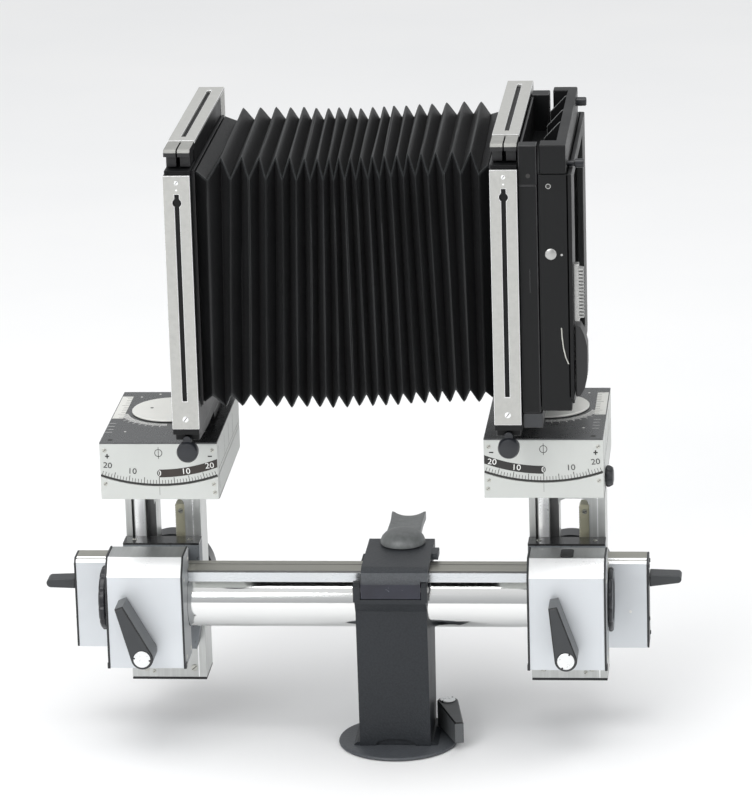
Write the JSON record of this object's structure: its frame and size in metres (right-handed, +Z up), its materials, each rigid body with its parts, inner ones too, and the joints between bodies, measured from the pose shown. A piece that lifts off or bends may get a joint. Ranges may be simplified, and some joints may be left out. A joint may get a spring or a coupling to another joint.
{
  "type": "view camera",
  "caption": "Large-format monorail view camera: square frames on geared standards with rise, shift, tilt and swing, pleated bellows, spring back and a rail clamp on a disc foot.",
  "frame": {"origin": "centre of the foot disc bottom face", "axes": "+Z up, +X along the rail towards the rear (focusing back) standard, +Y away from the clamp levers"},
  "size_m": [0.3871, 0.1684, 0.39],
  "materials": {
    "crackle_paint": "dark grey crackle paint",
    "black_plastic": "moulded, slightly satin",
    "lever_black": "satin moulded levers",
    "satin_alloy": "fine bead-blasted, clear anodised",
    "chrome": "polished rail tube",
    "dull_steel": "dull machined steel",
    "brass_rack": "pale milled brass",
    "black_alloy": "black anodised",
    "bellows_cloth": "black coated cloth, fine grain",
    "focus_glass": "ground on one side"
  },
  "bodies": {
    "foot": {"foot_disc": "crackle_paint"},
    "post": {"post_body": "crackle_paint", "jaw_hinge_pin": "dull_steel"},
    "pan_lock": {"pan_lock_lever": "lever_black"},
    "clamp_stud": {"clamp_bolt": "dull_steel"},
    "rail_clamp_lever": {"clamp_lever": "crackle_paint"},
    "jaw": {"rail_jaw": "crackle_paint"},
    "rail": {"rail_tube": "chrome", "rail_rib": "dull_steel", "rail_cap_front": "black_plastic", "rail_cap_rear": "black_plastic", "bellows": "bellows_cloth"},
    "front_carriage": {"front_housing": "satin_alloy", "front_carriage": "dull_steel", "front_drive_box": "satin_alloy"},
    "front_rail_lock": {"front_clamp_lever": "lever_black"},
    "front_rise_lock": {"front_side_lever": "lever_black"},
    "front_focus_drive": {"front_focus_knob": "black_plastic"},
    "front_column": {"front_column": "satin_alloy", "front_rack": "brass_rack", "front_column_foot": "black_alloy"},
    "front_rise_drive": {"front_rise_knob": "black_plastic"},
    "front_shift": {"front_shift_base": "satin_alloy"},
    "front_shift_drive": {"front_shift_knob": "black_plastic"},
    "front_tilt_drive": {"front_tilt_knob": "black_plastic"},
    "front_tilt": {"front_tilt_block": "satin_alloy"},
    "front_swing_drive": {"front_swing_knob": "black_plastic"},
    "front_swing": {"front_swing_table": "black_alloy", "front_frame": "satin_alloy", "bellows_frame_front": "black_alloy"},
    "front_catch_a": {"front_catch_a": "black_plastic"},
    "front_catch_b": {"front_catch_b": "black_plastic"},
    "front_frame_lock": {"front_lock_knob": "black_plastic"},
    "rear_carriage": {"rear_housing": "satin_alloy", "rear_carriage": "dull_steel", "rear_drive_box": "satin_alloy"},
    "rear_rail_lock": {"rear_clamp_lever": "lever_black"},
    "rear_rise_lock": {"rear_side_lever": "lever_black"},
    "rear_focus_drive": {"rear_focus_knob": "black_plastic"},
    "rear_column": {"rear_column": "satin_alloy", "rear_rack": "brass_rack", "rear_column_foot": "black_alloy"},
    "rear_rise_drive": {"rear_rise_knob": "black_plastic"},
    "rear_shift": {"rear_shift_base": "satin_alloy", "rear_shift_lock": "black_plastic"},
    "rear_shift_drive": {"rear_shift_knob": "black_plastic"},
    "rear_tilt_drive": {"rear_tilt_knob": "black_plastic"},
    "rear_tilt": {"rear_tilt_block": "satin_alloy"},
    "rear_swing_drive": {"rear_swing_knob": "black_plastic"},
    "rear_swing": {"rear_swing_table": "black_alloy", "rear_frame": "satin_alloy", "bellows_frame_rear": "black_alloy", "back_adapter": "black_alloy", "back_body": "black_alloy", "ground_glass": "focus_glass"},
    "rear_catch_a": {"rear_catch_a": "black_plastic"},
    "rear_catch_b": {"rear_catch_b": "black_plastic"},
    "rear_frame_lock": {"rear_lock_knob": "black_plastic"},
    "back_slider": {"back_slider": "dull_steel"},
    "back_latch": {"back_latch": "black_plastic"}
  },
  "joints": [
    {"name": "pan", "type": "hinge", "parent": "foot", "child": "post", "pos_m": [0, 0, 0], "axis": [0, 0, 1], "continuous": true},
    {"name": "pan_lock_turn", "type": "hinge", "parent": "post", "child": "pan_lock", "pos_m": [0.0287, 0.0178, 0.005], "axis": [0, 0, 1], "range_deg": [-12, 60]},
    {"name": "rail_clamp_turn", "type": "hinge", "parent": "clamp_stud", "child": "rail_clamp_lever", "pos_m": [0.003, 0.028, 0.117], "axis": [0, 0, 1], "range_deg": [0, 90]},
    {"name": "clamp_stud_lift", "type": "slide", "parent": "post", "child": "clamp_stud", "axis": [0, 0, 1], "range_m": [0, 0.0022]},
    {"name": "jaw_open", "type": "hinge", "parent": "post", "child": "jaw", "pos_m": [0, -0.0205, 0.1036], "axis": [1, 0, 0], "range_deg": [0, 1.8]},
    {"name": "rail_slide", "type": "slide", "parent": "post", "child": "rail", "axis": [1, 0, 0], "range_m": [-0.015, 0.04]},
    {"name": "front_focus", "type": "slide", "parent": "rail", "child": "front_carriage", "axis": [1, 0, 0], "range_m": [-0.0025, 0.024], "deforming": ["bellows"]},
    {"name": "front_rail_lock_turn", "type": "hinge", "parent": "front_carriage", "child": "front_rail_lock", "pos_m": [-0.1469, -0.04, 0.0709], "axis": [0, 1, 0], "range_deg": [-35, 60]},
    {"name": "front_rise_lock_turn", "type": "hinge", "parent": "front_carriage", "child": "front_rise_lock", "pos_m": [-0.1978, 0.03, 0.09175], "axis": [1, 0, 0], "range_deg": [-60, 60]},
    {"name": "front_focus_knob_turn", "type": "hinge", "parent": "front_carriage", "child": "front_focus_drive", "pos_m": [-0.18395, 0.045, 0.066], "axis": [0, 1, 0], "range_deg": [-190, 190]},
    {"name": "front_rise", "type": "slide", "parent": "front_carriage", "child": "front_column", "axis": [0, 0, 1], "range_m": [-0.015, 0.025]},
    {"name": "front_rise_knob_turn", "type": "hinge", "parent": "front_carriage", "child": "front_rise_drive", "pos_m": [-0.14375, 0.06, 0.084], "axis": [0, 1, 0], "range_deg": [-290, 290]},
    {"name": "front_shift", "type": "slide", "parent": "front_column", "child": "front_shift", "axis": [0, 1, 0], "range_m": [-0.02, 0.02]},
    {"name": "front_shift_knob_turn", "type": "hinge", "parent": "front_shift", "child": "front_shift_drive", "pos_m": [-0.154, 0.06, 0.1766], "axis": [0, 1, 0], "range_deg": [-190, 190]},
    {"name": "front_tilt", "type": "hinge", "parent": "front_shift", "child": "front_tilt", "pos_m": [-0.132, 0, 0.2835], "axis": [0, 1, 0], "range_deg": [-20, 20]},
    {"name": "front_tilt_knob_turn", "type": "hinge", "parent": "front_shift", "child": "front_tilt_drive", "pos_m": [-0.11, 0.06, 0.1766], "axis": [0, 1, 0], "range_deg": [-200, 200]},
    {"name": "front_swing", "type": "hinge", "parent": "front_tilt", "child": "front_swing", "pos_m": [-0.132, 0.0115, 0.2055], "axis": [0, 0, 1], "range_deg": [-20, 20]},
    {"name": "front_swing_knob_turn", "type": "hinge", "parent": "front_tilt", "child": "front_swing_drive", "pos_m": [-0.132, 0.06, 0.1955], "axis": [0, 1, 0], "range_deg": [-200, 200]},
    {"name": "front_catch_a_lift", "type": "slide", "parent": "front_swing", "child": "front_catch_a", "axis": [0, 0, 1], "range_m": [0, 0.003]},
    {"name": "front_catch_b_lift", "type": "slide", "parent": "front_swing", "child": "front_catch_b", "axis": [0, 0, 1], "range_m": [0, 0.003]},
    {"name": "front_frame_lock_turn", "type": "hinge", "parent": "front_swing", "child": "front_frame_lock", "pos_m": [-0.1106, -0.078, 0.2155], "axis": [0, 1, 0], "range_deg": [-40, 40]},
    {"name": "rear_focus", "type": "slide", "parent": "rail", "child": "rear_carriage", "axis": [1, 0, 0], "range_m": [-0.024, 0]},
    {"name": "rear_rail_lock_turn", "type": "hinge", "parent": "rear_carriage", "child": "rear_rail_lock", "pos_m": [0.1051, -0.04, 0.0709], "axis": [0, 1, 0], "range_deg": [-35, 60]},
    {"name": "rear_rise_lock_turn", "type": "hinge", "parent": "rear_carriage", "child": "rear_rise_lock", "pos_m": [0.1516, 0.03, 0.09455], "axis": [1, 0, 0], "range_deg": [-60, 60]},
    {"name": "rear_focus_knob_turn", "type": "hinge", "parent": "rear_carriage", "child": "rear_focus_drive", "pos_m": [0.13975, 0.045, 0.066], "axis": [0, 1, 0], "range_deg": [-190, 190]},
    {"name": "rear_rise", "type": "slide", "parent": "rear_carriage", "child": "rear_column", "axis": [0, 0, 1], "range_m": [-0.015, 0.025]},
    {"name": "rear_rise_knob_turn", "type": "hinge", "parent": "rear_carriage", "child": "rear_rise_drive", "pos_m": [0.1025, 0.06, 0.084], "axis": [0, 1, 0], "range_deg": [-290, 290]},
    {"name": "rear_shift", "type": "slide", "parent": "rear_column", "child": "rear_shift", "axis": [0, 1, 0], "range_m": [-0.02, 0.02]},
    {"name": "rear_shift_knob_turn", "type": "hinge", "parent": "rear_shift", "child": "rear_shift_drive", "pos_m": [0.072, 0.06, 0.1778], "axis": [0, 1, 0], "range_deg": [-190, 190]},
    {"name": "rear_tilt", "type": "hinge", "parent": "rear_shift", "child": "rear_tilt", "pos_m": [0.094, 0, 0.286], "axis": [0, 1, 0], "range_deg": [-20, 20]},
    {"name": "rear_tilt_knob_turn", "type": "hinge", "parent": "rear_shift", "child": "rear_tilt_drive", "pos_m": [0.116, 0.06, 0.1778], "axis": [0, 1, 0], "range_deg": [-200, 200]},
    {"name": "rear_swing", "type": "hinge", "parent": "rear_tilt", "child": "rear_swing", "pos_m": [0.094, 0.0115, 0.208], "axis": [0, 0, 1], "range_deg": [-20, 20]},
    {"name": "rear_swing_knob_turn", "type": "hinge", "parent": "rear_tilt", "child": "rear_swing_drive", "pos_m": [0.094, 0.06, 0.198], "axis": [0, 1, 0], "range_deg": [-200, 200]},
    {"name": "rear_catch_a_lift", "type": "slide", "parent": "rear_swing", "child": "rear_catch_a", "axis": [0, 0, 1], "range_m": [0, 0.003]},
    {"name": "rear_catch_b_lift", "type": "slide", "parent": "rear_swing", "child": "rear_catch_b", "axis": [0, 0, 1], "range_m": [0, 0.003]},
    {"name": "rear_frame_lock_turn", "type": "hinge", "parent": "rear_swing", "child": "rear_frame_lock", "pos_m": [0.0759, -0.078, 0.218], "axis": [0, 1, 0], "range_deg": [-40, 40]},
    {"name": "back_slider_move", "type": "slide", "parent": "rear_swing", "child": "back_slider", "axis": [0, 0, 1], "range_m": [0, 0.024]},
    {"name": "back_latch_turn", "type": "hinge", "parent": "rear_swing", "child": "back_latch", "pos_m": [0.1167, -0.062, 0.241], "axis": [0, 1, 0], "range_deg": [0, 25]}
  ],
  "couplings": [
    {"joint": "clamp_stud_lift", "follows": "rail_clamp_turn", "m_per_rad": 0.0011459},
    {"joint": "jaw_open", "follows": "rail_clamp_turn", "ratio": 0.015534},
    {"joint": "front_focus_knob_turn", "follows": "front_focus", "rad_per_m": 125},
    {"joint": "front_rise_knob_turn", "follows": "front_rise", "rad_per_m": 190},
    {"joint": "front_shift_knob_turn", "follows": "front_shift", "rad_per_m": 160},
    {"joint": "front_tilt_knob_turn", "follows": "front_tilt", "ratio": -9.5},
    {"joint": "front_swing_knob_turn", "follows": "front_swing", "ratio": 9.5},
    {"joint": "rear_focus_knob_turn", "follows": "rear_focus", "rad_per_m": 125},
    {"joint": "rear_rise_knob_turn", "follows": "rear_rise", "rad_per_m": 190},
    {"joint": "rear_shift_knob_turn", "follows": "rear_shift", "rad_per_m": 160},
    {"joint": "rear_tilt_knob_turn", "follows": "rear_tilt", "ratio": -9.5},
    {"joint": "rear_swing_knob_turn", "follows": "rear_swing", "ratio": 9.5}
  ]
}
